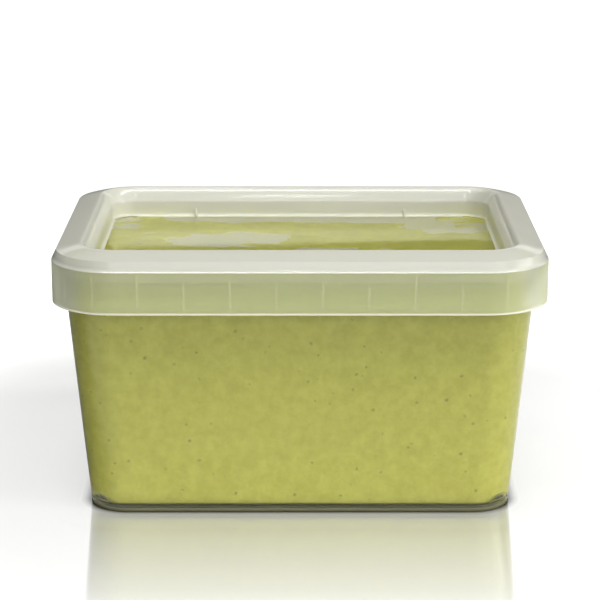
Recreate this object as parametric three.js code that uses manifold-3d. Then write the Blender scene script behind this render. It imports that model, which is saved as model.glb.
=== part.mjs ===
// A rectangular food tub of translucent polypropylene, filled with green hummus and shut with its push-on lid.
// Millimetres, +Z up. The tub's foot ring stands on z = 0, and the tub is centred on x = y = 0.

import * as THREE from 'three';
import { mergeVertices } from 'three/addons/utils/BufferGeometryUtils.js';
import Module from 'manifold-3d';

const wasm = await Module();
wasm.setup();

// Lid, seen from above a rounded rectangle; insets are measured inwards from its skirt
const lidLength = 144;
const lidWidth = 104;
const lidCornerRadius = 19.2;
const lidWall = 0.7;
const skirtBottom = 62.5;
const skirtTop = 75.2;
const shoulder = { inset: 1.5, z: 77.8 }; // where the skirt's bend meets the sloping band
const band = { inset: 5.7, z: 79.05 }; // the band's slope bends here
const crest = { inset: 10.2, z: 79.5 }; // the band's highest line
const recessTop = { inset: 11.2, z: 78.3 };
const recessFoot = { inset: 11.9, z: 71.6 };
const panel = { inset: 13.2, z: 70.4 }; // the sunken middle of the lid
const panelFillet = 12.0; // inset of the corner that the recess wall and the panel would make

// Small moulded ribs on the lid
const skirtRib = { pitch: 13.12, width: 0.7, depth: 0.35, bottom: 63.4, top: 74.2 };
const skirtRibsLongSide = 10;
const skirtRibsShortSide = 8;
const stopRib = { offset: 33.6, width: 0.7, depth: 0.8, height: 2.4 };

// Tub
const footLength = 124.7;
const footWidth = 84.7;
const footCornerRadius = 12;
const tubSlope = 0.0848; // how far a wall leans out for each millimetre up
const tubCornerGrowth = 0.021; // how much the corner radius grows for each millimetre up
const tubWall = 0.7;
const footRing = { outer: 0.25, inner: 1.75, lean: 0.45, height: 2.2 }; // insets of its flat; its inner side
const floorTop = 3.0;
const floorFillet = 2.4;
const rim = { top: 76.6, flange: 0.8, lipBottom: 71.6, lipInset: 1.45, lipWall: 0.7, bevel: 0.45 };

// Hummus
const gap = 0.3; // clear of the tub and the lid
const channelLevel = { z: 71.9, wave: 0.5, wavelength: 23 }; // in the channel round the sunken panel
const edgeDip = 2; // how much lower it stands against the tub's wall
const cornerLift = 3.2; // how far it stays off the floor in the tub's four bottom corners
// The hummus's lower edge, in shares of the floor's fillet, and how much of the corner's lift each ring gets
const edgeRings = [
  { inset: 3.5, rise: 0, share: 0 },
  { inset: 1, rise: 0, share: 0.2 },
  { inset: 0.4, rise: 0.3, share: 0.7 },
  { inset: 0, rise: 1, share: 1 },
];
// Rings of the hummus's top in the channel: inset from the skirt, and drop below the channel's level
const channelRings = [
  { inset: 5.8, drop: 0.4 },
  { inset: 7.6, drop: 0 },
  { inset: 9.3, drop: 0.2 },
  { inset: 10.2, drop: 1 },
];
// Air pockets between the hummus and the panel: centre, half sizes and depth
const pockets = [
  { x: -23, y: 7, halfLength: 21, halfWidth: 9, depth: 2.4 },
  { x: 49, y: 26, halfLength: 22, halfWidth: 9, depth: 2.1 },
  { x: -2, y: 42, halfLength: 66, halfWidth: 7, depth: 1.6 },
  { x: -57, y: 29, halfLength: 11, halfWidth: 10, depth: 1.4 },
  { x: 18, y: -9, halfLength: 17, halfWidth: 7, depth: 1.8 },
  { x: -37, y: -25, halfLength: 19, halfWidth: 9, depth: 2.2 },
  { x: 42, y: -31, halfLength: 20, halfWidth: 8, depth: 2.0 },
];

const pocketRim = { outer: 1.15, slope: 0.75 }; // a pocket's slope starts here and is this wide, in half sizes

const cornerSteps = 7; // facets round each corner
const filletBend = 0.3; // a fillet of two chords bends this share of its radius away from each face
const sectionSteps = 4; // chords along each curve of the lid's section
const hummusSideSteps = [14, 10]; // steps along the hummus's long and short sides
const panelRings = 8; // rings of the hummus's top under the panel
const centreRadius = 4; // least corner radius of a ring

// A level ring of points round a rounded rectangle, anticlockwise from above
function ring(halfLength, halfWidth, radius, z, sideSteps = [1, 1]) {
  const r = Math.max(radius, centreRadius);
  const cornerX = halfLength - r;
  const cornerY = halfWidth - r;
  const points = [];
  for (let corner = 0; corner < 4; corner += 1) {
    const start = (corner * Math.PI) / 2;
    const signX = corner === 0 || corner === 3 ? 1 : -1;
    const signY = corner < 2 ? 1 : -1;
    const arc = new THREE.EllipseCurve(signX * cornerX, signY * cornerY, r, r, start, start + Math.PI / 2);
    points.push(...arc.getPoints(cornerSteps));
    const from = points[points.length - 1];
    const to = from.clone().multiply(corner % 2 === 0 ? new THREE.Vector2(-1, 1) : new THREE.Vector2(1, -1));
    const steps = sideSteps[corner % 2];
    for (let step = 1; step < steps; step += 1) {
      points.push(from.clone().lerp(to, step / steps));
    }
  }
  return points.map((p) => new THREE.Vector3(p.x, p.y, z));
}

// A closed body skinned over rings that run from its bottom centre, outwards and up, to its top centre
function skin(rings) {
  const count = rings[0].length;
  const last = rings.length - 1;
  const positions = rings.flat().flatMap((p) => [p.x, p.y, p.z]);
  const bottomCentre = positions.length / 3;
  positions.push(0, 0, rings[0][0].z);
  const topCentre = bottomCentre + 1;
  positions.push(0, 0, rings[last][0].z);
  const triangles = [];
  for (let i = 0; i < count; i += 1) {
    const next = (i + 1) % count;
    triangles.push(bottomCentre, next, i);
    triangles.push(topCentre, last * count + i, last * count + next);
    for (let level = 0; level < last; level += 1) {
      const low = level * count;
      const high = low + count;
      triangles.push(low + i, low + next, high + next);
      triangles.push(low + i, high + next, high + i);
    }
  }
  const geometry = new THREE.BufferGeometry();
  geometry.setAttribute('position', new THREE.Float32BufferAttribute(positions, 3));
  geometry.setIndex(triangles);
  return geometry;
}

function toManifold(geometry) {
  const bare = geometry.clone();
  bare.deleteAttribute('normal');
  bare.deleteAttribute('uv');
  const merged = mergeVertices(bare);
  return new wasm.Manifold(new wasm.Mesh({
    numProp: 3,
    vertProperties: new Float32Array(merged.attributes.position.array),
    triVerts: new Uint32Array(merged.index.array),
  }));
}

function toGeometry(manifold) {
  const { vertProperties, triVerts } = manifold.getMesh();
  const geometry = new THREE.BufferGeometry();
  geometry.setAttribute('position', new THREE.BufferAttribute(vertProperties, 3));
  geometry.setIndex(new THREE.BufferAttribute(triVerts, 1));
  return geometry;
}

function namedMesh(name, geometry, material) {
  geometry.computeVertexNormals();
  const mesh = new THREE.Mesh(geometry, new THREE.MeshStandardMaterial(material));
  mesh.name = name;
  return mesh;
}

// The lid's upper skin in section, from the sunken panel outwards to the skirt's foot; x is minus the inset
function lidSection() {
  const section = new THREE.Path();
  section.moveTo(-panel.inset, panel.z);
  section.quadraticCurveTo(-panelFillet, panel.z, -recessFoot.inset, recessFoot.z);
  section.lineTo(-recessTop.inset, recessTop.z);
  section.quadraticCurveTo(-recessTop.inset, crest.z, -crest.inset, crest.z);
  section.quadraticCurveTo(-band.inset, band.z, -shoulder.inset, shoulder.z);
  section.quadraticCurveTo(0, shoulder.z - shoulder.inset, 0, skirtTop);
  section.lineTo(0, skirtBottom);
  return section.getPoints(sectionSteps);
}

// The same section moved one wall thickness inwards
function innerSection(section, thickness) {
  return section.map((point, i) => {
    const before = section[Math.max(i - 1, 0)];
    const after = section[Math.min(i + 1, section.length - 1)];
    const comingIn = i > 0 ? point.clone().sub(before).normalize() : after.clone().sub(point).normalize();
    const goingOut = i < section.length - 1 ? after.clone().sub(point).normalize() : comingIn;
    const along = comingIn.clone().add(goingOut).normalize();
    const inwards = new THREE.Vector2(along.y, -along.x);
    return point.clone().addScaledVector(inwards, thickness / along.dot(comingIn));
  });
}

function lidRing({ x, y }, sideSteps) {
  return ring(lidLength / 2 + x, lidWidth / 2 + x, lidCornerRadius + x, y, sideSteps);
}

function box(width, depth, height, centre, turn) {
  const geometry = new THREE.BoxGeometry(width, depth, height);
  geometry.rotateZ(turn);
  geometry.translate(centre.x, centre.y, centre.z);
  return toManifold(geometry);
}

// Upright ribs inside the skirt, a pitch apart along each side and on into its corners
function skirtRibs() {
  const reach = lidCornerRadius - lidWall;
  const overlap = lidWall / 2;
  const height = skirtRib.top - skirtRib.bottom;
  const ribs = [];
  const sides = [
    { count: skirtRibsLongSide, half: lidLength / 2, other: lidWidth / 2, turns: [0, Math.PI] },
    { count: skirtRibsShortSide, half: lidWidth / 2, other: lidLength / 2, turns: [Math.PI / 2, -Math.PI / 2] },
  ];
  for (const { count, half, other, turns } of sides) {
    for (let i = 0; i < count; i += 1) {
      const along = (i - (count - 1) / 2) * skirtRib.pitch;
      const straight = Math.min(Math.abs(along), half - lidCornerRadius);
      const angle = (Math.abs(along) - straight) / lidCornerRadius;
      const inner = reach + (overlap - skirtRib.depth) / 2;
      const x = Math.sign(along) * (straight + inner * Math.sin(angle));
      const y = -(other - lidCornerRadius) - inner * Math.cos(angle);
      for (const turn of turns) {
        const centre = new THREE.Vector3(x, y, skirtRib.bottom + height / 2);
        centre.applyAxisAngle(new THREE.Vector3(0, 0, 1), turn);
        const facing = turn + Math.sign(along) * angle;
        ribs.push(box(skirtRib.width, skirtRib.depth + overlap, height, centre, facing));
      }
    }
  }
  return ribs;
}

// Four short ribs that stand at the foot of the long recess walls
function stopRibs() {
  const ribs = [];
  const wallY = lidWidth / 2 - panelFillet;
  const sunk = lidWall / 2;
  for (const sideX of [-1, 1]) {
    for (const sideY of [-1, 1]) {
      const depth = stopRib.depth + sunk;
      const y = sideY * (wallY - stopRib.depth + depth / 2);
      const centre = new THREE.Vector3(sideX * stopRib.offset, y, panel.z + (stopRib.height - sunk) / 2);
      ribs.push(box(stopRib.width, depth, stopRib.height + sunk, centre, 0));
    }
  }
  return ribs;
}

function makeLid() {
  const upper = lidSection();
  const lower = innerSection(upper, lidWall);
  const shell = toManifold(skin([...lower, ...upper.reverse()].map(lidRing)));
  const ribs = [...skirtRibs(), ...stopRibs()];
  return toGeometry(ribs.reduce((body, rib) => body.add(rib), shell));
}

// A ring round the tub at height z, this far inside its outer wall
function tubRing(inset, z, sideSteps) {
  const out = tubSlope * z - inset;
  const radius = footCornerRadius + tubCornerGrowth * z - inset;
  return ring(footLength / 2 + out, footWidth / 2 + out, radius, z, sideSteps);
}

function makeTub() {
  const fillet = floorFillet * filletBend;
  const lip = (inset, z) => lidRing({ x: -inset, y: z });
  const flangeUnder = rim.top - rim.flange;
  const rings = [
    tubRing(footRing.inner + footRing.lean, footRing.height),
    tubRing(footRing.inner, 0),
    tubRing(footRing.outer, 0),
    tubRing(0, footRing.outer),
    tubRing(0, flangeUnder),
    lip(rim.lipInset + rim.lipWall, flangeUnder),
    lip(rim.lipInset + rim.lipWall, rim.lipBottom),
    lip(rim.lipInset, rim.lipBottom),
    lip(rim.lipInset, rim.top - rim.bevel),
    lip(rim.lipInset + rim.bevel, rim.top),
    tubRing(tubWall - rim.bevel, rim.top),
    tubRing(tubWall, rim.top - rim.bevel),
    tubRing(tubWall, floorTop + floorFillet),
    tubRing(tubWall + fillet, floorTop + fillet),
    tubRing(tubWall + floorFillet, floorTop),
  ];
  return skin(rings);
}

// 1 at the middle of a rounded corner, falling to 0 where its arc ends
function cornerShare(point, inset) {
  const radius = footCornerRadius - inset;
  const x = Math.abs(point.x) - (footLength / 2 - inset - radius);
  const y = Math.abs(point.y) - (footWidth / 2 - inset - radius);
  return x > 0 && y > 0 ? Math.sin(2 * Math.atan2(y, x)) : 0;
}

// How far the hummus lies below the panel at this place
function pocketDepth(x, y) {
  return pockets.reduce((deepest, pocket) => {
    const reach = Math.hypot((x - pocket.x) / pocket.halfLength, (y - pocket.y) / pocket.halfWidth);
    const share = THREE.MathUtils.smoothstep(pocketRim.outer - reach, 0, pocketRim.slope);
    return Math.max(deepest, pocket.depth * share);
  }, 0);
}

// The hummus's gently waving level in the channel round the panel
function channelZ(point) {
  const turn = (2 * Math.PI) / channelLevel.wavelength;
  return channelLevel.z + channelLevel.wave * Math.sin(point.x * turn) * Math.cos(point.y * turn);
}

function makeHummus() {
  const wall = tubWall + gap;
  const low = floorTop + gap;
  const contact = panel.z - lidWall - gap;
  const topRing = (inset) => lidRing({ x: -inset, y: 0 }, hummusSideSteps);
  const rings = [];
  for (const { inset, rise, share } of edgeRings) {
    const edge = wall + inset * floorFillet;
    const points = tubRing(edge, low + rise * floorFillet, hummusSideSteps);
    rings.push(points.map((point) => point.setZ(point.z + cornerLift * share * cornerShare(point, edge))));
  }
  rings.push(tubRing(wall, channelLevel.z - edgeDip, hummusSideSteps));
  for (const { inset, drop } of channelRings) {
    rings.push(topRing(inset).map((point) => point.setZ(channelZ(point) - drop)));
  }
  const firstInset = panelFillet - lidWall + gap / 2;
  const lastInset = lidWidth / 2 - centreRadius;
  for (let i = 0; i <= panelRings; i += 1) {
    const points = topRing(THREE.MathUtils.lerp(firstInset, lastInset, i / panelRings));
    rings.push(points.map((point) => point.setZ(contact - pocketDepth(point.x, point.y))));
  }
  return skin(rings);
}

const plastic = { roughness: 0.35, metalness: 0, transparent: true };
const tub = new THREE.Group();
tub.add(
  namedMesh('tub', makeTub(), { ...plastic, color: 0xe4e6dc, opacity: 0.4 }),
  namedMesh('hummus', makeHummus(), { color: 0xb0ae5f, roughness: 0.7, metalness: 0 }),
  namedMesh('lid', makeLid(), { ...plastic, color: 0xe6e6df, opacity: 0.5 }),
);

export default tub;
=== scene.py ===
import math

import bmesh
import bpy
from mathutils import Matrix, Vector


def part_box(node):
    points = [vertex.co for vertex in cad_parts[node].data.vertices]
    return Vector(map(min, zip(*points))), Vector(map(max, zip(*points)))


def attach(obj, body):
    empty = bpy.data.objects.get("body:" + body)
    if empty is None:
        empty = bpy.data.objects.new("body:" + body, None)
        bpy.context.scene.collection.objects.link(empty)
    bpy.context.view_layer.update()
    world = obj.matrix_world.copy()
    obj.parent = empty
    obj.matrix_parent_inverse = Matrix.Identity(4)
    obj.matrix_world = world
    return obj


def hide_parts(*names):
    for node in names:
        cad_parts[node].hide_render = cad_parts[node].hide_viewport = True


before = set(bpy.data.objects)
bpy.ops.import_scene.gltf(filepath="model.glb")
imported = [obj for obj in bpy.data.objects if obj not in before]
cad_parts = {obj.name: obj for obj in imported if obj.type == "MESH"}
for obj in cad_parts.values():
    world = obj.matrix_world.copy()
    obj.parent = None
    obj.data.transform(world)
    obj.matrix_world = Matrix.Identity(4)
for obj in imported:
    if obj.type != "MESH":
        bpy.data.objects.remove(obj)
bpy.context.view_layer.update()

mm = 0.001
tolerance = 0.05  # mm within which a face counts as lying at a height or on an outline
print("frame loaded")


def onlySelect(piece):
    bpy.ops.object.select_all(action="DESELECT")
    piece.select_set(True)
    bpy.context.view_layer.objects.active = piece


def pick(piece, kind, test):
    # in edit mode, selects just the vertices, edges or faces that pass the test
    bpy.ops.mesh.select_mode(type=kind)
    bpy.ops.mesh.select_all(action="DESELECT")
    mesh = bmesh.from_edit_mesh(piece.data)
    for part in {"VERT": mesh.verts, "EDGE": mesh.edges, "FACE": mesh.faces}[kind]:
        if test(part):
            part.select_set(True)
    mesh.select_flush_mode()
    bmesh.update_edit_mesh(piece.data)


def facing(direction, height):
    # a test for faces that look along direction and lie at this height
    def test(face):
        away = abs(face.calc_center_median().z - height)
        return face.normal.dot(direction) > 0.9 and away < tolerance * mm
    return test


def roundedBlock(name, halfLength, halfWidth, radius, low, high, segments=20):
    # an upright block with rounded corners, left in edit mode with its top face selected
    bpy.ops.object.select_all(action="DESELECT")
    bpy.ops.mesh.primitive_cube_add(size=1, location=(0, 0, (low + high) / 2 * mm))
    block = bpy.context.active_object
    block.name = block.data.name = name
    block.scale = (2 * halfLength * mm, 2 * halfWidth * mm, (high - low) * mm)
    bpy.ops.object.transform_apply(location=True, rotation=True, scale=True)
    bpy.ops.object.mode_set(mode="EDIT")
    pick(block, "EDGE", lambda e: abs(e.verts[0].co.z - e.verts[1].co.z) > (high - low) * mm / 2)
    bpy.ops.mesh.bevel(offset=radius * mm, segments=segments, affect="EDGES")
    pick(block, "FACE", facing(Vector((0, 0, 1)), high * mm))
    return block


def capInwards(inset, rise):
    # a smaller copy of the selected cap, the same distance in all round, moved up or down
    bpy.ops.mesh.inset(thickness=inset * mm, depth=0, use_even_offset=True)
    bpy.ops.transform.translate(value=(0, 0, rise * mm))


def capTo(piece, halfLength, halfWidth, height):
    # carries the selected cap on to another size and height
    bpy.ops.mesh.extrude_region_move()
    cap = [v.co for v in bmesh.from_edit_mesh(piece.data).verts if v.select]
    nowX, nowY, nowZ = (max(v[axis] for v in cap) for axis in range(3))
    grow = (halfLength * mm / nowX, halfWidth * mm / nowY, 1)
    bpy.ops.transform.resize(value=grow, center_override=(0, 0, nowZ))
    bpy.ops.transform.translate(value=(0, 0, height * mm - nowZ))


def applyModifier(piece, kind, **settings):
    onlySelect(piece)
    modifier = piece.modifiers.new(kind.title(), kind)
    for name, value in settings.items():
        setattr(modifier, name, value)
    bpy.ops.object.modifier_apply(modifier=modifier.name)


def smoothByAngle(piece, degrees):
    onlySelect(piece)
    bpy.ops.object.shade_smooth_by_angle(angle=math.radians(degrees))


def quadratic(start, control, end, steps):
    # the points after start on a smooth curve that control draws aside
    points = []
    for step in range(1, steps + 1):
        t = step / steps
        weights = ((1 - t) ** 2, 2 * t * (1 - t), t ** 2)
        points.append(tuple(sum(w * p[i] for w, p in zip(weights, (start, control, end))) for i in (0, 1)))
    return points


def linear(hexColour):
    # from an sRGB hex value
    values = [int(hexColour[i:i + 2], 16) / 255 for i in (1, 3, 5)]
    return [v / 12.92 if v <= 0.04045 else ((v + 0.055) / 1.055) ** 2.4 for v in values] + [1]


def addNode(owner, kind, links=(), **settings):
    # one node with its settings, its sockets given a value or joined to another node's output
    node = owner.node_tree.nodes.new(kind)
    for name, value in settings.items():
        setattr(node, name, value)
    for socket, value in dict(links).items():
        if isinstance(value, bpy.types.NodeSocket):
            owner.node_tree.links.new(value, node.inputs[socket])
        else:
            node.inputs[socket].default_value = value
    return node


def emptyMaterial(name):
    material = bpy.data.materials.new(name)
    material.use_nodes = True
    material.node_tree.nodes.clear()
    return material


def finishMaterial(material, shader):
    addNode(material, "ShaderNodeOutputMaterial", {"Surface": shader.outputs[0]})
    return material


paste = {
    "pale": "#e6e672",
    "deep": "#d8d760",
    "patchSize": 3.4,  # mm across the soft pale and deep patches
    "patchDetail": (5, 0.68),  # how many finer layers they have, and how strong those are
    "patchRange": (0.35, 0.65),  # noise values that come out all deep and all pale
    "herb": "#66742a",
    "fleckSpacing": 4.4,
    "fleckRadius": 0.45,
    "fleckSpread": 0.06,  # flecks differ in size by this share of the spacing
    "fleckShare": 0.55,
    "fleckTear": (0.7, 1.1),  # mm between the tears in a fleck's outline, and how far they reach
    "wetFilm": "#f0f050",  # beside the panel's wetted parts a film still clings to the frost
    "filmBelow": (69.74, 69.7),  # heights between which the film sets in, and then the airy skin
    "airy": "#f4f280",  # where it hangs below the panel its skin is full of fine bubbles
    "airyBelow": (69.65, 68.6),
    "pressed": "#f5f5cc",  # multiplies the top, that the lid pressed free of bubbles
    "rim": "#f4fa8c",
    "skirtLightAbove": (61.5, 63.0),  # and up the sides it is painted paler, from just under the skirt's foot: painted light for what shines in through the skirt
    "topFrom": 0.5,  # upward share of the normal from which a face belongs to the top
    "roughness": 0.5,
}


def pureedPaste():
    # chickpeas and herbs blended to a paste: soft pale and deep patches, with small dark herb flecks
    material = emptyMaterial("pureedChickpeaHerbPaste")
    place = addNode(material, "ShaderNodeTexCoord").outputs["Object"]
    detail, strength = paste["patchDetail"]
    patches = addNode(material, "ShaderNodeTexNoise", {
        "Vector": place, "Scale": 1 / (paste["patchSize"] * mm), "Detail": detail, "Roughness": strength,
    })
    base = addNode(material, "ShaderNodeValToRGB", {"Fac": patches.outputs["Fac"]})
    tones = (paste["deep"], paste["pale"])
    for element, position, tone in zip(base.color_ramp.elements, paste["patchRange"], tones):
        element.position = position
        element.color = linear(tone)
    # the flecks are the middles of scattered cells, torn at their outlines
    tearSize, tearReach = paste["fleckTear"]
    ragged = addNode(material, "ShaderNodeTexNoise", {
        "Vector": place, "Scale": 1 / (tearSize * mm), "Detail": 3,
    })
    shift = addNode(material, "ShaderNodeVectorMath", {
        0: ragged.outputs["Color"], 1: [tearReach * mm] * 3,
    }, operation="MULTIPLY")
    moved = addNode(material, "ShaderNodeVectorMath", {0: place, 1: shift.outputs[0]}, operation="ADD")
    cells = addNode(material, "ShaderNodeTexVoronoi", {
        "Vector": moved.outputs[0], "Scale": 1 / (paste["fleckSpacing"] * mm),
    })
    chance = addNode(material, "ShaderNodeSeparateXYZ", {"Vector": cells.outputs["Color"]})
    reach = addNode(material, "ShaderNodeMath", {
        0: chance.outputs["X"], 1: -paste["fleckSpread"], 2: cells.outputs["Distance"],
    }, operation="MULTIPLY_ADD")
    fleck = addNode(material, "ShaderNodeMapRange", {
        "Value": reach.outputs[0], "From Min": 0, "From Max": paste["fleckRadius"] / paste["fleckSpacing"],
        "To Min": paste["fleckShare"], "To Max": 0,
    })
    # the tones that set in with height, on the top or on the sides; the paler one on the sides is painted
    # light
    heights = addNode(material, "ShaderNodeSeparateXYZ", {"Vector": place})
    shares = {}
    for name in ("filmBelow", "airyBelow", "skirtLightAbove"):
        start, full = paste[name]
        shares[name] = addNode(material, "ShaderNodeMapRange", {
            "Value": heights.outputs["Z"], "From Min": start * mm, "From Max": full * mm,
        }).outputs[0]
    normal = addNode(material, "ShaderNodeTexCoord").outputs["Normal"]
    upward = addNode(material, "ShaderNodeSeparateXYZ", {"Vector": normal})
    onTop = addNode(material, "ShaderNodeMath", {
        0: upward.outputs["Z"], 1: paste["topFrom"],
    }, operation="GREATER_THAN").outputs[0]
    film = addNode(material, "ShaderNodeMath", {0: shares["filmBelow"], 1: onTop}, operation="MULTIPLY")
    airy = addNode(material, "ShaderNodeMath", {0: shares["airyBelow"], 1: onTop}, operation="MULTIPLY")
    # painted light on the sides behind the skirt, not on the top
    skirtLightShare = addNode(material, "ShaderNodeMath", {
        0: shares["skirtLightAbove"], 1: onTop,
    }, operation="SUBTRACT", use_clamp=True)
    sides = addNode(material, "ShaderNodeMix", {
        0: skirtLightShare.outputs[0], 6: base.outputs["Color"], 7: linear(paste["rim"]),
    }, data_type="RGBA")
    top = addNode(material, "ShaderNodeMix", {
        0: onTop, 6: sides.outputs[2], 7: linear(paste["pressed"]),
    }, data_type="RGBA", blend_type="MULTIPLY")
    wet = addNode(material, "ShaderNodeMix", {
        0: film.outputs[0], 6: top.outputs[2], 7: linear(paste["wetFilm"]),
    }, data_type="RGBA")
    skin = addNode(material, "ShaderNodeMix", {
        0: airy.outputs[0], 6: wet.outputs[2], 7: linear(paste["airy"]),
    }, data_type="RGBA")
    colour = addNode(material, "ShaderNodeMix", {
        0: fleck.outputs[0], 6: skin.outputs[2], 7: linear(paste["herb"]),
    }, data_type="RGBA")
    shader = addNode(material, "ShaderNodeBsdfPrincipled", {
        "Base Color": colour.outputs[2], "Roughness": paste["roughness"],
    })
    return finishMaterial(material, shader)


sheet = {
    "waveSize": 9,  # mm across the slow waves that the mould leaves
    "waveHeight": 0.02,
    "waveRange": (0.3, 0.7),  # noise values between which the gloss goes from brighter to duller
    "unevenness": 0.08,  # share of the roughness
    "ior": 1.49,
    "coatRoughness": 0.08,
    "cornersFrom": (61, 41),  # mm out from the middle, where the skirt turns into its corners
    "cornerFade": 8,
}


def mouldedPolypropylene(name, clear, roughness, coat=0, tint="#f8f8f4", cornerTint=None, gloss=0.5):
    # clear is the share of light that passes; the rest is scattered by the frost of the mould
    material = emptyMaterial(name)
    place = addNode(material, "ShaderNodeTexCoord").outputs["Object"]
    waves = addNode(material, "ShaderNodeTexNoise", {
        "Vector": place, "Scale": 1 / (sheet["waveSize"] * mm), "Detail": 2,
    })
    low, high = sheet["waveRange"]
    rough = addNode(material, "ShaderNodeMapRange", {
        "Value": waves.outputs["Fac"], "From Min": low, "From Max": high,
        "To Min": roughness * (1 - sheet["unevenness"]), "To Max": roughness * (1 + sheet["unevenness"]),
    })
    relief = addNode(material, "ShaderNodeBump", {
        "Height": waves.outputs["Fac"], "Strength": 1, "Distance": sheet["waveHeight"] * mm,
    })
    colour = linear(tint)
    if cornerTint:
        colour = tintTowardsCorners(material, place, tint, cornerTint)
    shader = addNode(material, "ShaderNodeBsdfPrincipled", {
        "Base Color": colour, "Roughness": rough.outputs[0], "IOR": sheet["ior"],
        "Transmission Weight": clear, "Specular IOR Level": gloss,
        "Coat Weight": coat, "Coat Roughness": sheet["coatRoughness"], "Coat IOR": sheet["ior"],
        "Normal": relief.outputs["Normal"], "Coat Normal": relief.outputs["Normal"],
    })
    return finishMaterial(material, shader)


def tintTowardsCorners(material, place, tint, cornerTint):
    # how far a point lies within a corner, counted from a box between the corners
    positive = addNode(material, "ShaderNodeVectorMath", {0: place}, operation="ABSOLUTE")
    core = [size * mm for size in sheet["cornersFrom"]] + [0]
    beyond = addNode(material, "ShaderNodeVectorMath", {
        0: positive.outputs[0], 1: core,
    }, operation="SUBTRACT")
    parts = addNode(material, "ShaderNodeSeparateXYZ", {"Vector": beyond.outputs[0]})
    depth = addNode(material, "ShaderNodeMath", {
        0: parts.outputs["X"], 1: parts.outputs["Y"],
    }, operation="MINIMUM")
    share = addNode(material, "ShaderNodeMapRange", {
        "Value": depth.outputs[0], "From Min": 0, "From Max": sheet["cornerFade"] * mm,
    })
    # the skirt's tint, painted light from the paste behind, gives way to the corner tint
    return addNode(material, "ShaderNodeMix", {
        0: share.outputs[0], 6: linear(tint), 7: linear(cornerTint),
    }, data_type="RGBA").outputs[2]


# unpigmented polypropylene: polished and clear where it shows the hummus through one wall
plasticClear = mouldedPolypropylene("polypropylenePolished", clear=1.0, roughness=0.07, gloss=0.3)
# under the lid's panel the mould left a fine frost, which veils whatever doesn't wet it
plasticFrost = mouldedPolypropylene("polypropyleneFrosted", clear=0.7, roughness=0.5)
# inside the ridge and the skirt it is only rough, and blurs what lies behind
plasticMatte = mouldedPolypropylene("polypropyleneMatteInside", clear=1.0, roughness=0.35)
# outside, the raised ridge is milky, with a polished skin; its faint yellow tint is painted light from the
# paste beneath
plasticRidge = mouldedPolypropylene(
    "polypropyleneMilkyRidge", clear=0.46, roughness=0.4, coat=0.65, tint="#f8f8ea",
)
# where the paste lies close behind, the milky sheet is tinted with painted light, for the paste's colour
# scattered through it; the tint fades in the corners
plasticSkirt = mouldedPolypropylene(
    "polypropyleneMilkyPaintedPasteLight", clear=0.65, roughness=0.3, coat=0.15, tint="#f8fccb", cornerTint="#f8f9e8",
)
# the bead and the ribs of the skirt gather the light that travels along the sheet
plasticEdge = mouldedPolypropylene("polypropyleneEdge", clear=0.15, roughness=0.3, coat=1.0, tint="#faf8e2")
# the foot ring stands in its own shade: its dark olive tint is painted shade, with some painted green light
# from the paste
plasticFootPaintedShade = mouldedPolypropylene("polypropyleneFootRingPaintedShade", clear=0.6, roughness=0.3, tint="#a3a27e")
print("materials made")


# the lid is a sheet drawn inwards from its skirt, then given its wall by Solidify
lidLow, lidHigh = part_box("lid")
lid = {
    "halfLength": lidHigh.x / mm,
    "halfWidth": lidHigh.y / mm,
    "cornerRadius": 19.2,
    "wall": 0.7,
    "skirtBottom": lidLow.z / mm,
    "footBead": 0.6,
    "skirtTop": 74.65,
    "skirtBend": ((0, 74.8), (0.1, 74.9)),  # inset from the skirt and height, as down to the panel
    "ledge": (0.62, 75.4),
    "shoulder": ((1.07, 76.9), (1.5, 77.8)),
    "band": (5.7, 79.05),
    "crest": (8.5, lidHigh.z / mm),
    "crestEnd": (9.43, lidHigh.z / mm),
    "slope": ((10.7, 77.3), (11.22, 76.4), (11.68, 75.55)),  # from the crest into the recess
    "wallBend": (11.86, 75.05),
    "recessFoot": (11.9, 71.6),
    "fillet": (12.0, 70.4),
    "panel": (13.2, 70.4),
    "ribPitch": 13.12,
    "ribsLongSide": 10,
    "ribsShortSide": 8,
    "skirtRib": (0.7, 0.7, 63.4, 74.2),  # width, depth with what is sunk in the wall, low and high
    "ribDepth": 0.35,
    "ribEdge": 0.15,
    "stopRib": (0.7, 1.15, 70.05, 72.8),
    "stopRibX": 33.6,
    "stopRibDepth": 0.8,
    "smoothAngle": 40,
}


def makeRib(size, x, y, turn):
    # an upright rib with softened edges, its middle at x, y before it is turned about the tub's middle
    width, depth, low, high = size
    bpy.ops.object.select_all(action="DESELECT")
    bpy.ops.mesh.primitive_cube_add(size=1, location=(0, 0, (low + high) / 2 * mm))
    rib = bpy.context.active_object
    rib.scale = (width * mm, depth * mm, (high - low) * mm)
    bpy.ops.object.transform_apply(location=True, rotation=True, scale=True)
    bpy.ops.object.mode_set(mode="EDIT")
    bpy.ops.mesh.select_all(action="SELECT")
    bpy.ops.mesh.bevel(offset=lid["ribEdge"] * mm, segments=2, affect="EDGES")
    bpy.ops.object.mode_set(mode="OBJECT")
    rib.rotation_euler.z = turn
    rib.location = (x * mm, y * mm, 0)
    bpy.ops.object.transform_apply(location=True, rotation=True, scale=True)
    return rib


def turned(x, y, angle):
    return x * math.cos(angle) - y * math.sin(angle), x * math.sin(angle) + y * math.cos(angle)


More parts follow.
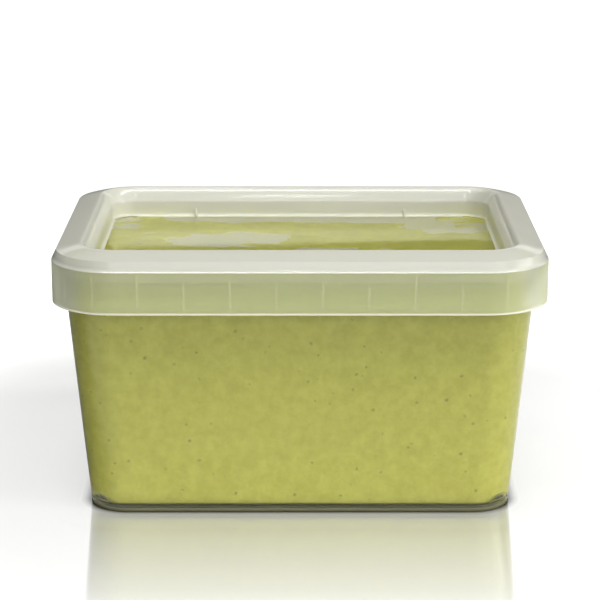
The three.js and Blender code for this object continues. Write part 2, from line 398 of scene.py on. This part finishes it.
def makeSkirtRibs():
    # a pitch apart along each side and on into its corners
    ribs = []
    reach = lid["cornerRadius"] - lid["wall"] - lid["ribDepth"] + lid["skirtRib"][1] / 2
    sides = (
        (lid["ribsLongSide"], lid["halfLength"], lid["halfWidth"], (0, math.pi)),
        (lid["ribsShortSide"], lid["halfWidth"], lid["halfLength"], (math.pi / 2, -math.pi / 2)),
    )
    for count, half, other, sideTurns in sides:
        for i in range(count):
            along = (i - (count - 1) / 2) * lid["ribPitch"]
            straight = min(abs(along), half - lid["cornerRadius"])
            angle = math.copysign((abs(along) - straight) / lid["cornerRadius"], along)
            x = math.copysign(straight, along) + reach * math.sin(angle)
            y = lid["cornerRadius"] - other - reach * math.cos(angle)
            for sideTurn in sideTurns:
                ribs.append(makeRib(lid["skirtRib"], *turned(x, y, sideTurn), angle + sideTurn))
    return ribs


def makeStopRibs():
    # four that stand at the foot of the long recess walls
    wallY = lid["halfWidth"] - lid["fillet"][0]
    y = wallY - lid["stopRibDepth"] + lid["stopRib"][1] / 2
    places = [(x, side * y) for x in (-lid["stopRibX"], lid["stopRibX"]) for side in (-1, 1)]
    return [makeRib(lid["stopRib"], *place, 0) for place in places]


def joinRibs(piece, ribs):
    onlySelect(ribs[0])
    for rib in ribs:
        rib.select_set(True)
    bpy.ops.object.join()
    applyModifier(
        piece, "BOOLEAN", object=ribs[0], operation="UNION", solver="EXACT", material_mode="TRANSFER",
    )
    bpy.data.objects.remove(ribs[0])


def onRidge(face):
    # the outer skin from the skirt's bend over and down to halfway round the panel's fillet
    halfway = (lid["fillet"][0] + lid["panel"][0]) / 2
    return face.material_index == 0 and insetAndHeight(face, tolerance, halfway, 0)


def insideRidge(face):
    # the inner skin under the ridge and inside the skirt
    return face.material_index == 1 and insetAndHeight(face, tolerance, lid["recessFoot"][0], 0)


def onSkirt(face):
    # the outer skin of the skirt above its bead
    return face.material_index == 0 and onUpright(face)


def onUpright(face):
    # -1 takes in all that lies outside the outline, here and for the bead
    return insetAndHeight(face, -1, tolerance, lid["skirtBottom"] + lid["footBead"])


def onEdges(face):
    # the bead at the skirt's foot
    return face.material_index == 0 and insetAndHeight(face, -1, tolerance, 0) and not onUpright(face)


def insetAndHeight(face, least, most, lowest):
    # whether a face's middle lies between two insets from the skirt and above a height
    middle = face.calc_center_median() / mm
    inset = insetOf(abs(middle.x), abs(middle.y))
    return least < inset < most and middle.z > lowest


def insetOf(x, y):
    # distance inwards from the skirt's rounded outline
    radius = lid["cornerRadius"]
    overX, overY = x - lid["halfLength"] + radius, y - lid["halfWidth"] + radius
    if overX > 0 and overY > 0:
        return radius - math.hypot(overX, overY)
    return min(lid["halfLength"] - x, lid["halfWidth"] - y)


def assignWhere(piece, slotIndex, test):
    bpy.ops.object.mode_set(mode="EDIT")
    pick(piece, "FACE", test)
    piece.active_material_index = slotIndex
    bpy.ops.object.material_slot_assign()
    bpy.ops.object.mode_set(mode="OBJECT")


def makeLid():
    low = lid["skirtBottom"]
    bead = low + lid["footBead"]
    size = (lid["halfLength"], lid["halfWidth"], lid["cornerRadius"])
    piece = roundedBlock("lidShell", *size, low, bead)
    bpy.ops.mesh.extrude_region_move(TRANSFORM_OT_translate={"value": (0, 0, (lid["skirtTop"] - bead) * mm)})
    stretches = (  # of the section, going inwards: control point, end point and steps
        (*lid["skirtBend"], 3),
        (lid["ledge"], lid["ledge"], 1),
        (*lid["shoulder"], 6),
        (lid["band"], lid["crest"], 8),
        (lid["crestEnd"], lid["slope"][0], 7),
        (lid["slope"][1], lid["slope"][2], 4),
        (lid["wallBend"], lid["recessFoot"], 5),
        (lid["fillet"], lid["panel"], 5),
    )
    start = last = (0, lid["skirtTop"])
    for control, end, steps in stretches:
        for point in quadratic(start, control, end, steps):
            capInwards(point[0] - last[0], point[1] - last[1])
            last = point
        start = end
    pick(piece, "FACE", facing(Vector((0, 0, -1)), low * mm))
    bpy.ops.mesh.delete(type="ONLY_FACE")
    bpy.ops.object.mode_set(mode="OBJECT")
    for material in (plasticClear, plasticFrost, plasticEdge, plasticRidge, plasticSkirt, plasticMatte):
        piece.data.materials.append(material)
    applyModifier(
        piece, "SOLIDIFY", thickness=lid["wall"] * mm, offset=-1, use_even_offset=True,
        material_offset=1, material_offset_rim=2,
    )
    for slotIndex, test in ((2, onEdges), (3, onRidge), (4, onSkirt), (5, insideRidge)):
        assignWhere(piece, slotIndex, test)
    for makeRibs, material in ((makeSkirtRibs, plasticEdge), (makeStopRibs, plasticRidge)):
        ribs = makeRibs()
        for rib in ribs:
            rib.data.materials.append(material)
        joinRibs(piece, ribs)
    smoothByAngle(piece, lid["smoothAngle"])
    return piece


lidShell = makeLid()
print("lid made", len(lidShell.data.polygons))

# the tub is a tapered block with its rim folded over, then hollowed out
tub = {
    "footHalfLength": 62.35,
    "footHalfWidth": 42.35,
    "footRadius": 12.0,
    "footRise": 1,  # the foot stands straight up to here
    "footRing": (1.7, 0.5),  # its width, and how far its inner side slopes
    "slope": 0.0848,  # outwards for each mm of height
    "wall": 0.7,
    "floorTop": 2.0,
    "floorUnder": 1.3,
    "softBottom": 2.4,  # the inner wall turns into the floor from this height above it
    "softSteps": ((0.7, 1.7), (1.7, 0.7)),  # inset and drop of the two steps in that turn
    "insideRise": 5,  # the inner wall stands straight up to here
    "rimTop": 76.6,
    "flange": 0.8,
    "lipBottom": 71.6,
    "lipInset": 1.45,
    "lipWall": 0.7,
    "edgeWidth": 0.22,
    "sharpAngle": 50,
    "smoothAngle": 40,
}


def tubHalf(height, inset=0):
    out = tub["slope"] * height - inset
    return tub["footHalfLength"] + out, tub["footHalfWidth"] + out


def onLip(face):
    # the rim and what hangs from it outside the wall
    middle = face.calc_center_median() / mm
    outside = insetOf(abs(middle.x), abs(middle.y)) < lid["halfLength"] - tubHalf(tub["rimTop"])[0]
    onFlange = middle.z > tub["rimTop"] - tub["flange"]
    return middle.z > tub["lipBottom"] - 2 * tolerance and (outside or onFlange)


def onFoot(face):
    # the foot ring and the underside
    return face.calc_center_median().z < (tub["floorUnder"] + 2 * tolerance) * mm


def onInside(face):
    middle = face.calc_center_median()
    inwards = face.normal.x * middle.x + face.normal.y * middle.y < 0
    above = middle.z > (tub["floorTop"] - 2 * tolerance) * mm
    return above and (inwards or face.normal.z > 0.5) and not onLip(face)


def tubInside(name, low, inset):
    # the room inside the tub, from a height up and with softened bottom edges
    straight = low + tub["softBottom"]
    over = tub["rimTop"] + 2
    radius = tub["footRadius"] - inset
    piece = roundedBlock(name, *tubHalf(straight, inset), radius, straight, low + tub["insideRise"])
    capTo(piece, *tubHalf(over, inset), over)
    pick(piece, "FACE", facing(Vector((0, 0, -1)), straight * mm))
    for inwards, drop in tub["softSteps"]:
        capInwards(inwards, -drop)
    return piece


def lipBlock(name, inset, low, high):
    # as large as the lid less an inset, and rounded like it
    sizes = (lid[key] - inset for key in ("halfLength", "halfWidth", "cornerRadius"))
    piece = roundedBlock(name, *sizes, low, high)
    bpy.ops.object.mode_set(mode="OBJECT")
    return piece


def combine(piece, tool, operation):
    applyModifier(piece, "BOOLEAN", object=tool, operation=operation, solver="EXACT")
    bpy.data.objects.remove(tool)


def makeTub():
    piece = roundedBlock("tubShell", *tubHalf(0), tub["footRadius"], 0, tub["footRise"])
    capTo(piece, *tubHalf(tub["rimTop"]), tub["rimTop"])
    pick(piece, "FACE", facing(Vector((0, 0, -1)), 0))
    ringWidth, ringSlope = tub["footRing"]
    capInwards(ringWidth, 0)
    capInwards(ringSlope, tub["floorUnder"])
    bpy.ops.object.mode_set(mode="OBJECT")
    inset, below = tub["lipInset"], tub["lipBottom"]
    lip = lipBlock("lip", inset, below, tub["rimTop"])
    underLip = lipBlock("underLip", inset + tub["lipWall"], below - 1, tub["rimTop"] - tub["flange"])
    combine(lip, underLip, "DIFFERENCE")
    combine(piece, lip, "UNION")
    hollow = tubInside("hollow", tub["floorTop"], tub["wall"])
    bpy.ops.object.mode_set(mode="OBJECT")
    combine(piece, hollow, "DIFFERENCE")
    applyModifier(
        piece, "BEVEL", width=tub["edgeWidth"] * mm, segments=2,
        limit_method="ANGLE", angle_limit=math.radians(tub["sharpAngle"]),
    )
    piece.data.materials.clear()
    for material in (plasticClear, plasticRidge, plasticMatte, plasticFootPaintedShade):
        piece.data.materials.append(material)
    for slotIndex, test in ((1, onLip), (2, onInside), (3, onFoot)):
        assignWhere(piece, slotIndex, test)
    smoothByAngle(piece, tub["smoothAngle"])
    return piece


tubShell = makeTub()
print("tub made", len(tubShell.data.polygons))

# the hummus is a block with an uneven top, cut to the inside of the tub and under the lid
hummus = {
    "grid": (150, 108),  # cells along and across its top
    "intoWall": 0.25,  # it reaches this far into the plastic, so that no air shows where it touches
    "level": 70.75,  # top before the lid's panel presses it flat
    "channelRise": 1.3,  # how much higher it stands in the channel round the panel
    "endRise": 1.4,  # and how much more at the two ends
    "channelOut": 2,  # it starts this far outside the recess
    "cornerLift": 2.7,  # how high it stays off the floor in the four bottom corners
    "cornerRun": 9.2,  # how far along each wall the lift at a corner starts
    "streak": 2.2,  # its lumps are drawn out along the tub
    "lumps": (("slump", 13, 2.2), ("dollop", 4.5, 2.0), ("crumb", 1.7, 0.9)),  # name, grain and height
    "pocketCore": 0.5,  # share of a pocket that is pressed in whole
    "pressedEdge": 1.5,  # round the foot of the recess
    "drawnDown": 75,  # the top is drawn down this far into a block
    "underside": -5,  # and levelled here, below the tub's floor
    "smoothAngle": 35,
    "pockets": (  # air under the panel: centre, half sizes and depth
        (-22, 8, 26, 11, 1.5),
        (50, 26, 26, 10, 1.55),
        (0, 39, 80, 8, 2.6),
        (-60, 32, 14, 9, 1.5),
        (14, -8, 30, 7, 1.4),
        (-37, -25, 22, 10, 1.5),
        (42, -31, 24, 9, 1.5),
    ),
}


def pressPocket(piece, x, y, halfLength, halfWidth, depth):
    # pushes down the middle of an oval patch and lets the rest follow softly
    def inCore(vertex):
        away = math.hypot((vertex.co.x / mm - x) / halfLength, (vertex.co.y / mm - y) / halfWidth)
        return away < hummus["pocketCore"]

    pick(piece, "VERT", inCore)
    bpy.ops.transform.translate(
        value=(0, 0, -depth * mm), use_proportional_edit=True, proportional_edit_falloff="SMOOTH",
        proportional_size=(1 - hummus["pocketCore"]) * 2 * halfWidth * mm,
    )


def makeUnevenBlock():
    bpy.ops.object.select_all(action="DESELECT")
    columns, rows = hummus["grid"]
    bpy.ops.mesh.primitive_grid_add(
        x_subdivisions=columns, y_subdivisions=rows, size=1, location=(0, 0, hummus["level"] * mm),
    )
    piece = bpy.context.active_object
    halfLength, halfWidth, streak = lid["halfLength"], lid["halfWidth"], hummus["streak"]
    piece.scale = (2 * halfLength / streak * mm, 2 * halfWidth * mm, 1)
    bpy.ops.object.transform_apply(location=True, rotation=True, scale=True)
    for name, grain, strength in hummus["lumps"]:
        texture = bpy.data.textures.new(name, "CLOUDS")
        texture.noise_scale = grain * mm
        texture.noise_depth = 1
        applyModifier(
            piece, "DISPLACE", texture=texture, strength=strength * mm, mid_level=0.5,
            direction="Z", texture_coords="LOCAL",
        )
    bpy.ops.object.mode_set(mode="EDIT")
    bpy.ops.mesh.select_all(action="SELECT")
    bpy.ops.transform.resize(value=(streak, 1, 1), center_override=(0, 0, 0))
    for pocket in hummus["pockets"]:
        pressPocket(piece, *pocket)
    innerX = (halfLength - lid["fillet"][0] + hummus["channelOut"]) * mm
    innerY = (halfWidth - lid["fillet"][0] + hummus["channelOut"]) * mm
    pick(piece, "VERT", lambda v: abs(v.co.x) > innerX or abs(v.co.y) > innerY)
    bpy.ops.transform.translate(value=(0, 0, hummus["channelRise"] * mm))
    pick(piece, "VERT", lambda v: abs(v.co.x) > innerX)
    bpy.ops.transform.translate(value=(0, 0, hummus["endRise"] * mm))
    bpy.ops.mesh.select_all(action="SELECT")
    bpy.ops.mesh.extrude_region_move(TRANSFORM_OT_translate={"value": (0, 0, -hummus["drawnDown"] * mm)})
    bpy.ops.transform.resize(value=(1, 1, 0), center_override=(0, 0, hummus["underside"] * mm))
    bpy.ops.mesh.select_all(action="SELECT")
    bpy.ops.mesh.normals_make_consistent(inside=False)
    bpy.ops.object.mode_set(mode="OBJECT")
    return piece


def makeCavity():
    # the room inside the tub, a little into its plastic, with a slanting cut at each bottom corner
    into = hummus["intoWall"]
    low = tub["floorTop"] - into
    wall = tub["wall"] - into
    piece = tubInside("cavity", low, wall)
    lift, run = hummus["cornerLift"], hummus["cornerRun"]
    halfLength, halfWidth = tubHalf(low, wall)
    rounding = tub["footRadius"] * (1 - math.sqrt(0.5))
    for signX in (-1, 1):
        for signY in (-1, 1):
            side = Vector((signX * (halfLength - run), signY * halfWidth, low))
            end = Vector((signX * halfLength, signY * (halfWidth - run), low))
            corner = Vector((signX * (halfLength - rounding), signY * (halfWidth - rounding), low + lift))
            normal = (end - side).cross(corner - side)
            if normal.z > 0:
                normal = -normal
            bpy.ops.mesh.select_all(action="SELECT")
            bpy.ops.mesh.bisect(plane_co=side * mm, plane_no=normal, use_fill=True, clear_outer=True)
    bpy.ops.object.mode_set(mode="OBJECT")
    return piece


def makePlug():
    # the room that the lid's recess takes
    into = hummus["intoWall"]
    inset = lid["recessFoot"][0] - lid["wall"] + into
    under = lid["panel"][1] - lid["wall"] + into
    size = (lid[key] - inset for key in ("halfLength", "halfWidth", "cornerRadius"))
    piece = roundedBlock("plug", *size, under, under + 10)
    pick(piece, "EDGE", lambda e: all(abs(v.co.z - under * mm) < tolerance / 5 * mm for v in e.verts))
    bpy.ops.mesh.bevel(offset=hummus["pressedEdge"] * mm, segments=4, affect="EDGES")
    bpy.ops.object.mode_set(mode="OBJECT")
    return piece


def makeHummus():
    piece = makeUnevenBlock()
    piece.name = piece.data.name = "hummusFill"
    combine(piece, makeCavity(), "INTERSECT")
    combine(piece, makePlug(), "DIFFERENCE")
    piece.data.materials.clear()
    piece.data.materials.append(pureedPaste())
    smoothByAngle(piece, hummus["smoothAngle"])
    return piece


hummusFill = makeHummus()
print("hummus made", len(hummusFill.data.polygons))


# every piece rides on the one body
rides = (
    (tubShell, "tub_plastic", "tub"),
    (hummusFill, "hummus", "hummus"),
    (lidShell, "lid_plastic", "lid"),
)
for piece, slotName, node in rides:
    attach(piece, "root")
    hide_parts(node)

stage = {
    "floorSides": 0.4,
    "floorBack": 0.4,
    "floorFront": -0.15,  # the table's front edge, just outside the picture
    # the colour that the painted shadow round the foot and the painted shade under the tub go to
    "paintedShadowColour": "#14140f",
    "floorPale": "#f0f0ee",
    "floorRoughness": 0.6,
    "floorWhite": 0.44,  # a painted glow for the camera alone, that keeps the floor white; the painted shadow round the foot dims it
    "polish": (0.7, 0.07),  # brightness and roughness of what the floor mirrors
    "mirror": (  # mm from the foot and how much of a mirror the floor is there
        (0, 0.35), (2, 0.54), (4, 0.64), (15, 0.7), (38, 0.56), (59, 0.42), (95, 0.15), (120, 0),
    ),
    "shade": (  # likewise how pale it is, in the painted soft shadow round the tub's foot
        (0.4, 0), (1.1, 0.2), (2.2, 0.52), (3.4, 0.76), (15, 0.88), (38, 0.84), (59, 0.84), (95, 1),
    ),
    "bounce": ((0.4, 0), (1.5, 1), (95, 1)),  # and how pale for the light that it throws back: painted shade, dark under the tub
    "clothColour": "#7c7c7a",
    "clothX": (-64, -72, -210, -250),  # mm where it starts, is whole, fades and ends
    "clothY": (-70, -45),
    "skyLeft": 0.0,
    "skyRight": 0.04,
    "skySpan": 0.9,
    "horizonLeft": 0.05,
    "horizonRight": 2.9,
    "horizonSpan": 0.7,
    "horizonBack": 0.1,
    "horizonBand": (0.26, 0.29),  # sines of the heights between which the horizon ends
    "behind": (-0.1, 0.3),  # from the tub's side to its back
    "backWall": (1.15, 1.4),  # the white wall that the floor mirrors, left and right
    "backWallSpan": 0.13,
    "backWallBand": (0.28, 0.295, 0.41, 0.44),
    "underFloor": 0.02,
    "floorFade": -0.02,  # below the horizon the world turns dark from 0 down to here
    "seenWhite": 1.05,  # what the camera sees past the floor
    "lamps": (  # name, azimuth, elevation, distance, size, power, and how far it is moved aside
        ("steepKey", 10, 67, 2.0, (2.6, 0.28), 29.5, 0.5),
        ("frontBox", 15, 30, 2.4, (2.2, 1.0), 16, 0),
        ("rightBox", 80, 25, 2.2, (1.4, 1.3), 9, 0),
        ("leftBox", -90, 72, 2.0, (1.2, 1.2), 12, 0),
        ("backBox", 0, 133, 2.0, (2.2, 0.8), 1.5, 0),
        ("leftGlint", -8.8, 49, 2.0, (0.04, 0.06), 0.16, 0),  # these glint on the far slope of the recess
        ("middleGlint", -0.4, 49, 2.0, (0.08, 0.06), 0.32, 0),
        ("rightGlint", 8.6, 49, 2.0, (0.06, 0.06), 0.24, 0),
    ),
    "cameraPlace": (0, -0.6305, 0.2224),
    "cameraDown": 15.03,
    "lens": 127.46,
}


def rampByDistance(material, distance, stops):
    # a grey level that changes with the distance from the foot, through stops of (mm, level)
    radius, last = tub["footRadius"], stops[-1][0]
    along = addNode(material, "ShaderNodeMapRange", {
        "Value": distance, "From Min": radius * mm, "From Max": (radius + last) * mm,
    })
    node = addNode(material, "ShaderNodeValToRGB", {"Fac": along.outputs[0]})
    elements = node.color_ramp.elements
    for element, (far, level) in zip(elements, (stops[0], stops[-1])):
        element.position = far / last
        element.color = [level] * 3 + [1]
    for far, level in stops[1:-1]:
        elements.new(far / last).color = [level] * 3 + [1]
    return node.outputs[0]


def makeFloor():
    # the camera sees it polished, with a painted soft shadow round the tub; for all other light it is matt,
    # with painted shade under the tub
    sides, front, back = stage["floorSides"], stage["floorFront"], stage["floorBack"]
    bpy.ops.object.select_all(action="DESELECT")
    bpy.ops.mesh.primitive_plane_add(size=1, location=(0, (front + back) / 2, 0))
    floor = bpy.context.active_object
    floor.name = "floor"
    floor.scale = (2 * sides, back - front, 1)
    bpy.ops.object.transform_apply(location=True, rotation=True, scale=True)
    material = emptyMaterial("whiteGlossAcrylic")
    # distance from the tub's rounded foot
    place = addNode(material, "ShaderNodeTexCoord").outputs["Object"]
    positive = addNode(material, "ShaderNodeVectorMath", {0: place}, operation="ABSOLUTE")
    radius = tub["footRadius"]
    core = ((tub["footHalfLength"] - radius) * mm, (tub["footHalfWidth"] - radius) * mm, 0)
    beyond = addNode(material, "ShaderNodeVectorMath", {
        0: positive.outputs[0], 1: core,
    }, operation="SUBTRACT")
    outside = addNode(material, "ShaderNodeVectorMath", {
        0: beyond.outputs[0], 1: (0, 0, 0),
    }, operation="MAXIMUM")
    distance = addNode(material, "ShaderNodeVectorMath", {
        0: outside.outputs[0],
    }, operation="LENGTH").outputs["Value"]
    mirror = rampByDistance(material, distance, stage["mirror"])
    # painted shadow for the camera, and painted shade under the tub for the light thrown back
    shade = rampByDistance(material, distance, stage["shade"])
    bounce = rampByDistance(material, distance, stage["bounce"])
    seen = addNode(material, "ShaderNodeLightPath").outputs["Is Camera Ray"]
    share = addNode(material, "ShaderNodeMix", {0: seen, 2: bounce, 3: shade})
    white = addNode(material, "ShaderNodeMix", {
        0: share.outputs[0], 6: linear(stage["paintedShadowColour"]), 7: linear(stage["floorPale"]),
    }, data_type="RGBA")
    # a dark cloth beside the tub on the left, which its edge mirrors and the camera doesn't see
    parts = addNode(material, "ShaderNodeSeparateXYZ", {"Vector": place})
    startX, fullX, fadingX, endX = stage["clothX"]
    near = addNode(material, "ShaderNodeMapRange", {
        "Value": parts.outputs["X"], "From Min": startX * mm, "From Max": fullX * mm,
    })
    far = addNode(material, "ShaderNodeMapRange", {
        "Value": parts.outputs["X"], "From Min": endX * mm, "From Max": fadingX * mm,
    })
    beside = addNode(material, "ShaderNodeMath", {
        0: near.outputs[0], 1: far.outputs[0],
    }, operation="MULTIPLY")
    startY, fullY = stage["clothY"]
    behind = addNode(material, "ShaderNodeMapRange", {
        "Value": parts.outputs["Y"], "From Min": startY * mm, "From Max": fullY * mm,
    })
    cloth = addNode(material, "ShaderNodeMath", {
        0: beside.outputs[0], 1: behind.outputs[0],
    }, operation="MULTIPLY")
    hidden = addNode(material, "ShaderNodeMath", {0: 1, 1: seen}, operation="SUBTRACT")
    dark = addNode(material, "ShaderNodeMath", {
        0: cloth.outputs[0], 1: hidden.outputs[0],
    }, operation="MULTIPLY")
    lit = addNode(material, "ShaderNodeMix", {
        0: dark.outputs[0], 6: white.outputs[2], 7: linear(stage["clothColour"]),
    }, data_type="RGBA")
    extra = addNode(material, "ShaderNodeMath", {0: seen, 1: stage["floorWhite"]}, operation="MULTIPLY")
    glow = addNode(material, "ShaderNodeMath", {0: shade, 1: extra.outputs[0]}, operation="MULTIPLY")
    flat = addNode(material, "ShaderNodeBsdfPrincipled", {
        "Base Color": lit.outputs[2], "Roughness": stage["floorRoughness"], "Specular IOR Level": 0,
        "Emission Color": (1, 1, 1, 1), "Emission Strength": glow.outputs[0],
    })
    brightness, roughness = stage["polish"]
    gloss = addNode(material, "ShaderNodeBsdfAnisotropic", {
        "Color": [brightness] * 3 + [1], "Roughness": roughness,
    })
    polish = addNode(material, "ShaderNodeMath", {0: seen, 1: mirror}, operation="MULTIPLY")
    mix = addNode(material, "ShaderNodeMixShader", {
        0: polish.outputs[0], 1: flat.outputs[0], 2: gloss.outputs[0],
    })
    floor.data.materials.append(finishMaterial(material, mix))


def makeSoftbox(name, azimuth, elevation, distance, size, power, along):
    # azimuth 0 is the camera's side, positive to the right; the box faces a point above the tub's
    # foot and is then moved along its own length
    middleHeight = 0.05
    turn, lift = math.radians(azimuth), math.radians(elevation)
    away = Vector((math.sin(turn) * math.cos(lift), -math.cos(turn) * math.cos(lift), math.sin(lift)))
    bpy.ops.object.select_all(action="DESELECT")
    place = away * distance + Vector((math.cos(turn) * along, math.sin(turn) * along, middleHeight))
    bpy.ops.object.light_add(type="AREA", location=place)
    box = bpy.context.active_object
    box.name = name
    box.rotation_euler = (math.radians(90 - elevation), 0, math.radians(azimuth))
    box.data.shape = "RECTANGLE"
    box.data.size, box.data.size_y = size
    box.data.energy = power


def makeWorld():
    # even white walls for the camera; the light that they give is graded like a studio's
    world = bpy.data.worlds.new("studio")
    bpy.context.scene.world = world
    world.use_nodes = True
    world.node_tree.nodes.clear()
    direction = addNode(world, "ShaderNodeTexCoord").outputs["Generated"]
    parts = addNode(world, "ShaderNodeSeparateXYZ", {"Vector": direction})
    sky = addNode(world, "ShaderNodeMapRange", {
        "Value": parts.outputs["X"], "From Min": -stage["skySpan"], "From Max": stage["skySpan"],
        "To Min": stage["skyLeft"], "To Max": stage["skyRight"],
    })
    horizon = addNode(world, "ShaderNodeMapRange", {
        "Value": parts.outputs["X"], "From Min": -stage["horizonSpan"], "From Max": stage["horizonSpan"],
        "To Min": stage["horizonLeft"], "To Max": stage["horizonRight"],
    })
    beside, behindAll = stage["behind"]
    behind = addNode(world, "ShaderNodeMapRange", {
        "Value": parts.outputs["Y"], "From Min": beside, "From Max": behindAll,
    })
    lower = addNode(world, "ShaderNodeMix", {
        0: behind.outputs[0], 2: horizon.outputs[0], 3: stage["horizonBack"],
    })
    low, high = stage["horizonBand"]
    above = addNode(world, "ShaderNodeMapRange", {
        "Value": parts.outputs["Z"], "From Min": low, "From Max": high,
    })
    upper = addNode(world, "ShaderNodeMix", {
        0: above.outputs[0], 2: lower.outputs[0], 3: sky.outputs[0],
    })
    start, full, fading, end = stage["backWallBand"]
    rise = addNode(world, "ShaderNodeMapRange", {
        "Value": parts.outputs["Z"], "From Min": start, "From Max": full,
    })
    fall = addNode(world, "ShaderNodeMapRange", {
        "Value": parts.outputs["Z"], "From Min": end, "From Max": fading,
    })
    band = addNode(world, "ShaderNodeMath", {
        0: rise.outputs[0], 1: fall.outputs[0],
    }, operation="MULTIPLY")
    wall = addNode(world, "ShaderNodeMath", {
        0: band.outputs[0], 1: behind.outputs[0],
    }, operation="MULTIPLY")
    white = addNode(world, "ShaderNodeMapRange", {
        "Value": parts.outputs["X"], "From Min": -stage["backWallSpan"], "From Max": stage["backWallSpan"],
        "To Min": stage["backWall"][0], "To Max": stage["backWall"][1],
    })
    walled = addNode(world, "ShaderNodeMix", {
        0: wall.outputs[0], 2: upper.outputs[0], 3: white.outputs[0],
    })
    over = addNode(world, "ShaderNodeMapRange", {
        "Value": parts.outputs["Z"], "From Min": stage["floorFade"], "From Max": 0,
    })
    strength = addNode(world, "ShaderNodeMix", {
        0: over.outputs[0], 2: stage["underFloor"], 3: walled.outputs[0],
    })
    lit = addNode(world, "ShaderNodeBackground", {
        "Color": (1, 1, 1, 1), "Strength": strength.outputs[0],
    })
    seen = addNode(world, "ShaderNodeBackground", {
        "Color": (1, 1, 1, 1), "Strength": stage["seenWhite"],
    })
    ray = addNode(world, "ShaderNodeLightPath")
    mix = addNode(world, "ShaderNodeMixShader", {
        0: ray.outputs["Is Camera Ray"], 1: lit.outputs[0], 2: seen.outputs[0],
    })
    addNode(world, "ShaderNodeOutputWorld", {"Surface": mix.outputs[0]})


def makeCamera():
    tilt = math.radians(90 - stage["cameraDown"])
    bpy.ops.object.camera_add(location=stage["cameraPlace"], rotation=(tilt, 0, 0))
    camera = bpy.context.active_object
    camera.data.lens = stage["lens"]
    camera.data.sensor_width = 36
    bpy.context.scene.camera = camera


makeFloor()
makeWorld()
for lamp in stage["lamps"]:
    makeSoftbox(*lamp)
makeCamera()
bpy.context.scene.view_settings.view_transform = "Standard"
print("stage made")
